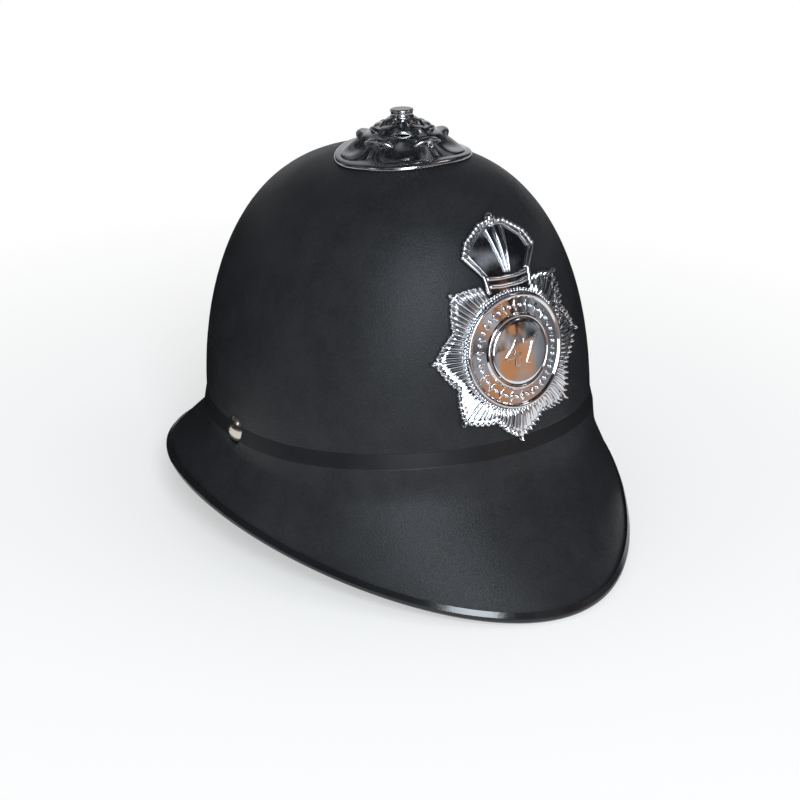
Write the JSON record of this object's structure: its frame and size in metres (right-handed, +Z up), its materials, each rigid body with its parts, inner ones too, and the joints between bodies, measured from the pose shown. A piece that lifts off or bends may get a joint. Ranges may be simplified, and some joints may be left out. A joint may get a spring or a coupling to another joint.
{
  "type": "custodian police helmet",
  "caption": "Tall domed helmet with a flared brim, rose boss, star badge, chin strap and inner head harness.",
  "frame": {"origin": "middle of the bounding box at the floor, where the brim's front and rear edges rest", "axes": "+Z up with the helmet standing on its brim, -Y the wearer's front, +X the wearer's left"},
  "size_m": [0.2366, 0.298, 0.2166],
  "materials": {
    "shell_plastic": "black moulded plastic, fine grain",
    "trim_plastic": "glossy black edging",
    "boss_chrome": "dark bright metal",
    "zinc_steel": "zinc-plated steel",
    "badge_chrome": "bright chrome",
    "rivet_nickel": "warm nickel",
    "strap_leather": "black leather",
    "harness_plastic": "black plastic",
    "sweatband_lining": "brown padded lining",
    "webbing": "black woven tape"
  },
  "bodies": {
    "helmet": {"shell": "shell_plastic", "edge_trim": "trim_plastic", "boss_rose": "boss_chrome", "boss_button": "boss_chrome", "boss_stud": "zinc_steel", "boss_washer": "zinc_steel", "boss_nut": "zinc_steel", "badge_plate": "badge_chrome", "badge_ring": "badge_chrome", "badge_disc": "badge_chrome", "badge_clips": "zinc_steel", "rivet_right": "rivet_nickel", "rivet_left": "rivet_nickel", "rivet_washer_right": "zinc_steel", "rivet_washer_left": "zinc_steel", "headband": "harness_plastic", "harness_keys": "harness_plastic", "sweatband": "sweatband_lining", "cradle_strap_long": "webbing", "cradle_strap_cross": "webbing", "cradle_pins": "harness_plastic"},
    "chin_strap": {"chin_strap_right": "strap_leather", "chin_strap_left": "strap_leather", "buckle_frame": "rivet_nickel"},
    "prong": {"buckle_prong": "rivet_nickel"},
    "keeper": {"strap_keeper": "strap_leather"}
  },
  "joints": [
    {"name": "chin_strap_swing", "type": "hinge", "parent": "helmet", "child": "chin_strap", "pos_m": [0, 0.01167, 0.05929], "axis": [-1, 0, 0], "range_deg": [0, 118]},
    {"name": "buckle_prong_pivot", "type": "hinge", "parent": "chin_strap", "child": "prong", "pos_m": [0.05384, 0.08935, 0.02019], "axis": [0, -0.4496, -0.8933], "range_deg": [0, 30]},
    {"name": "strap_keeper_slide", "type": "slide", "parent": "chin_strap", "child": "keeper", "axis": [0.6283, -0.6949, 0.3497], "range_m": [-0.009, 0.006]}
  ]
}
